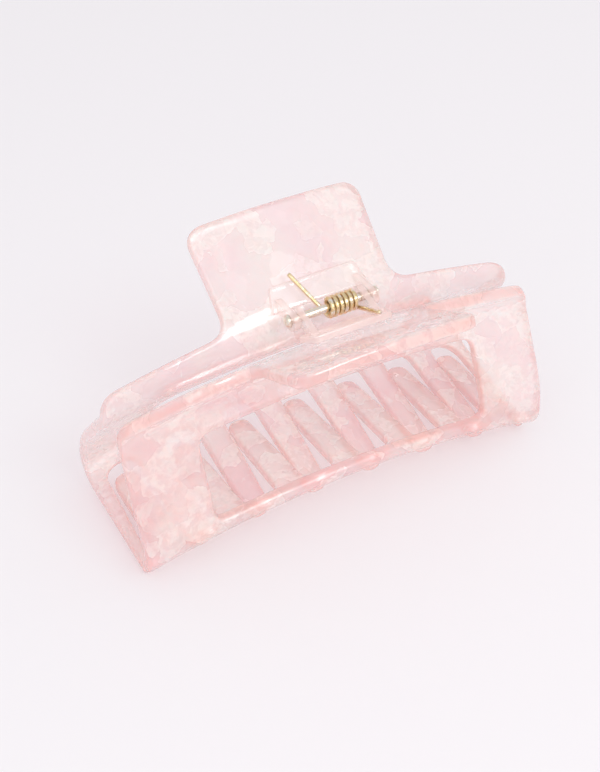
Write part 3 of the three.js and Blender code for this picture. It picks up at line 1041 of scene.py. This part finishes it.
def swept(centre: np.ndarray, across: np.ndarray, radius: np.ndarray, sides: int) -> tuple[np.ndarray, list]:
    """Carries a circle along a line of points and closes both ends.

    Each ring lies in the plane of two unit vectors: across made square to the tangent, and its cross
    product with the tangent.

    Args:
        centre: points of the line, (n, 3).
        across: a direction for each point that isn't along the tangent, (n, 3).
        radius: the circle's radius at each point.
        sides: points in a ring.

    Returns:
        Points and faces.
    """
    tangent = np.gradient(centre, axis=0)
    tangent /= np.linalg.norm(tangent, axis=1)[:, None]
    one = across - tangent * (across * tangent).sum(1)[:, None]
    one /= np.linalg.norm(one, axis=1)[:, None]
    two = np.cross(tangent, one)
    turn = (np.arange(sides) * 2 * math.pi / sides)[None, :, None]
    spoke = np.cos(turn) * one[:, None] + np.sin(turn) * two[:, None]
    rings = centre[:, None] + radius[:, None, None] * spoke
    n = len(centre)
    k, j = np.meshgrid(np.arange(n - 1), np.arange(sides), indexing="ij")
    a = k * sides + j
    b = k * sides + (j + 1) % sides
    faces = np.stack([a, b, b + sides, a + sides], -1).reshape(-1, 4).tolist()
    faces += [list(range(sides))[::-1], [(n - 1) * sides + i for i in range(sides)]]
    return rings.reshape(-1, 3), faces


@dataclass
class HingePin:
    """The pin: a domed head at the left, a plain shank, and a flared end at the right.

    Attributes:
        hinge: the hinge's middle.
        shank: the shank's radius.
        end: how far the shank reaches on each side of the middle.
        head: the head's radius.
        dome: its height.
        flare: how much the flare stands out from the shank.
        flare_length: its length.
        flare_end: the radius of its open end.
    """

    hinge: Vector
    shank: float = 1.0 * MM
    end: float = 11.15 * MM
    head: float = 1.6 * MM
    dome: float = 1.1 * MM
    flare: float = 0.45 * MM
    flare_length: float = 0.7 * MM
    flare_end: float = 0.55 * MM

    def build(self, finish: bpy.types.Material) -> bpy.types.Object:
        """Turns the pin: a radius for each place along X.

        The head is a quarter ellipse. At each share of its length, the flare stands out from the shank by
        flare * sin(pi * (early + (1 - early) * share)) ** 0.7, and its open end is drawn in.

        Args:
            finish: the plated metal.

        Returns:
            The piece.
        """
        angle = np.linspace(0.06, math.pi / 2, 9)
        head_x = -self.end - self.dome * np.cos(angle)
        head_r = self.head * np.sin(angle)
        near_end, nearest_end = self.end - 0.1 * MM, self.end - 0.02 * MM
        shank_x = np.array([-nearest_end, -near_end, 0, near_end, nearest_end])
        shank_r = np.full(len(shank_x), self.shank)
        share = np.linspace(0, 1, 9)
        early = 0.22
        swell = np.clip(share * (1 - early) + early, 0, 1)
        flare_x = self.end + self.flare_length * share
        flare_r = self.shank + self.flare * np.sin(math.pi * swell) ** 0.7
        flare_r[-1] = self.flare_end
        x = np.concatenate([head_x, shank_x, flare_x]) + self.hinge.x
        centre = np.stack([x, np.zeros_like(x), np.full_like(x, self.hinge.z)], 1)
        across = np.tile([0.0, 1.0, 0.0], (len(x), 1))
        points, faces = swept(centre, across, np.concatenate([head_r, shank_r, flare_r]), sides=40)
        piece = mesh_piece("hinge_pin_turned", points, faces, finish)
        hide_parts("hinge_pin")
        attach(piece, "rear")
        return piece


@dataclass
class TorsionSpring:
    """One length of wire: an arm up the rear tab, the coil round the pin, and an arm along the front tab.

    Attributes:
        hinge: the hinge's middle.
        tilt: the tabs' angle.
        wire: the wire's radius.
        coil: the radius of the coil's middle line.
        turns: whole turns.
        pitch: the distance between turns.
        middle: how far the coil's middle lies to the right of the hinge's.
        arm: the length of each arm.
        lean: how much the arms lean in towards their tabs, in radians.
        slant: how far the rear arm runs sideways for each unit of its length.
    """

    hinge: Vector
    tilt: float
    wire: float = 0.5 * MM
    coil: float = 2.05 * MM
    turns: int = 6
    pitch: float = 1.2 * MM
    middle: float = 2.4 * MM
    arm: float = 10.8 * MM
    lean: float = 0.05
    slant: float = 0.42

    def line(self) -> tuple[np.ndarray, float, float]:
        """The wire's centre line.

        The coil is (x along the pitch, coil * cos a, coil * sin a) as a turns; each arm leaves it on its
        tangent, and the rear one also slants to the left.

        Returns:
            Points (n, 3) about the hinge, and the x at which the coil starts and ends.
        """
        rise = self.tilt - self.lean
        first = rise - math.pi / 2
        turn = 2 * math.pi * self.turns + 2 * rise
        half = turn / (2 * math.pi) * self.pitch / 2
        start, end = self.middle - half, self.middle + half
        coil_points, arm_points = 420, 26
        share = np.linspace(0, 1, coil_points)
        angle = first - turn * share
        along = start + (end - start) * share
        coil = np.stack([along, self.coil * np.cos(angle), self.coil * np.sin(angle)], 1)
        nearest = self.arm * 0.02
        out = np.linspace(self.arm, nearest, arm_points)[:, None]
        leaves, arrives = first + math.pi / 2, first - turn - math.pi / 2
        rear = coil[0] + out * np.array([-self.slant, math.cos(leaves), math.sin(leaves)])
        front = coil[-1] + out[::-1] * np.array([0, math.cos(arrives), math.sin(arrives)])
        return np.vstack([rear, coil, front]), start, end

    def build(self, finish: bpy.types.Material) -> bpy.types.Object:
        """Builds the wire with slightly rounded cut ends.

        Args:
            finish: the plated wire.

        Returns:
            The piece.
        """
        line, start, end = self.line()
        centre = line + np.array(self.hinge)
        cut_end = 0.8
        radius = np.full(len(centre), self.wire)
        radius[[0, -1]] *= cut_end
        across = np.tile([1.0, 0.0, 0.0], (len(centre), 1))
        points, faces = swept(centre, across, radius, sides=18)
        piece = mesh_piece("torsion_spring_wire", points, faces, finish)
        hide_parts("torsion_spring")
        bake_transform(piece)
        return piece


# ---------------------------------------------------------------- studio


@dataclass
class Studio:
    """The pale floor, the soft lights and the camera.

    Attributes:
        centre: the clip's middle, which the lights face.
        azimuth: the camera's turn about Z, from straight in front.
        elevation: its angle over the floor.
        roll: its turn about its own axis.
        distance: from the camera to its target.
        lens: its focal length in millimetres.
        target: what it faces, from the clip's middle.
        floor_half: half the floor's side.
    """

    centre: Vector
    azimuth: float = math.radians(-31.2)
    elevation: float = math.radians(44.4)
    roll: float = math.radians(3.1)
    distance: float = 0.350
    lens: float = 72.7
    target: tuple[float, float, float] = (-11.0 * MM, -8.6 * MM, -12.1 * MM)
    floor_half: float = 3.0

    def build(self) -> None:
        """Builds the floor, lights and camera."""
        self._floor()
        self._world()
        self._area("key_light", Vector((0.30, -0.80, 1.0)), 0.50, 5.4, (0.99, 0.99, 0.985))
        self._area("left_fill", Vector((-0.9, -0.6, 0.9)), 1.2, 3.6, (0.965, 0.985, 1.0))
        self._camera()

    def _floor(self) -> None:
        """A wide plain floor under the clip."""
        corners = np.array([(-1, -1, 0), (1, -1, 0), (1, 1, 0), (-1, 1, 0)]) * self.floor_half
        material, graph = new_material("pale_floor")
        shader = graph.node("BsdfPrincipled", {"Base Color": (0.872, 0.853, 0.872, 1.0), "Roughness": 0.75})
        graph.node("OutputMaterial", {"Surface": shader.outputs[0]})
        floor = mesh_piece("studio_floor", corners, [[0, 1, 2, 3]], material)

    def _world(self) -> None:
        """Even pale light from all round."""
        world = bpy.data.worlds.new("studio_world")
        world.use_nodes = True
        graph = Graph(world.node_tree)
        shade = graph.node("Background", {"Color": (0.985, 0.967, 0.985, 1.0), "Strength": 0.77})
        graph.node("OutputWorld", {"Surface": shade.outputs[0]})
        bpy.context.scene.world = world

    def _area(self, name: str, offset: Vector, size: float, power: float, colour: tuple) -> None:
        """Adds a square area light that faces the clip.

        Args:
            name: its name.
            offset: its place from the clip's middle.
            size: its side.
            power: its power in watts.
            colour: its colour.
        """
        data = bpy.data.lights.new(name, "AREA")
        data.shape = "SQUARE"
        data.size = size
        data.energy = power
        data.color = colour
        light = bpy.data.objects.new(name, data)
        light.location = self.centre + offset
        light.rotation_euler = (-offset).to_track_quat("-Z", "Y").to_euler()
        bpy.context.scene.collection.objects.link(light)

    def _camera(self) -> None:
        """Sets the camera behind its target along the azimuth and elevation, turned by the roll."""
        a, e, r = self.azimuth, self.elevation, self.roll
        back = Vector((math.sin(a) * math.cos(e), -math.cos(a) * math.cos(e), math.sin(e)))
        right = Vector((math.cos(a), math.sin(a), 0))
        up = back.cross(right)
        right, up = right * math.cos(r) + up * math.sin(r), up * math.cos(r) - right * math.sin(r)
        target = self.centre + Vector(self.target)
        data = bpy.data.cameras.new("camera")
        data.lens = self.lens
        data.clip_end = 50
        camera = bpy.data.objects.new("camera", data)
        turned = Matrix((right, up, back)).transposed().to_4x4()
        camera.matrix_world = Matrix.Translation(target + back * self.distance) @ turned
        bpy.context.scene.collection.objects.link(camera)
        bpy.context.scene.camera = camera


# ---------------------------------------------------------------- the whole clip


def main() -> None:
    """Builds the clip and its studio."""
    logging.basicConfig(level=logging.INFO, format="%(name)s: %(message)s")
    axis_height = frame["joints"][0]["pos_m"][2]
    bracket_low, bracket_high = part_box("rear_hinge_bracket")
    hinge = Vector(((bracket_low.x + bracket_high.x) / 2, 0, axis_height))
    pearl, handling = pearl_group(), handling_group()
    rear = PearlAcetate("pearl_acetate_rear", (0.031, 0.012, 0.0)).build(pearl, handling)
    front = PearlAcetate("pearl_acetate_front", (0.273, 0.148, 0.02)).build(pearl, handling)
    clear = ClearMoulding().build(handling)
    rear_path, front_path = jaw_path(REAR_BELLY), jaw_path(0.0)
    Jaw(Side.REAR, 8, True, hinge, rear_path, REAR_SLOT_RISE).build(rear)
    Jaw(Side.FRONT, 7, False, hinge, front_path, FRONT_SLOT_RISE).build(front)
    Bracket(Side.REAR, hinge, plate_half=12.6 * MM, ear_x=10.15 * MM).build(clear)
    Bracket(Side.FRONT, hinge, plate_half=11.4 * MM, ear_x=8.1 * MM).build(clear)
    HingePin(hinge).build(PlatedMetal(Metal.PIN).build(handling))
    TorsionSpring(hinge, tab_tilt()).build(PlatedMetal(Metal.WIRE).build(handling))
    Studio(Vector((0, 0, axis_height))).build()
    bpy.context.scene.view_settings.view_transform = "Standard"


if __name__ == "__main__":
    main()
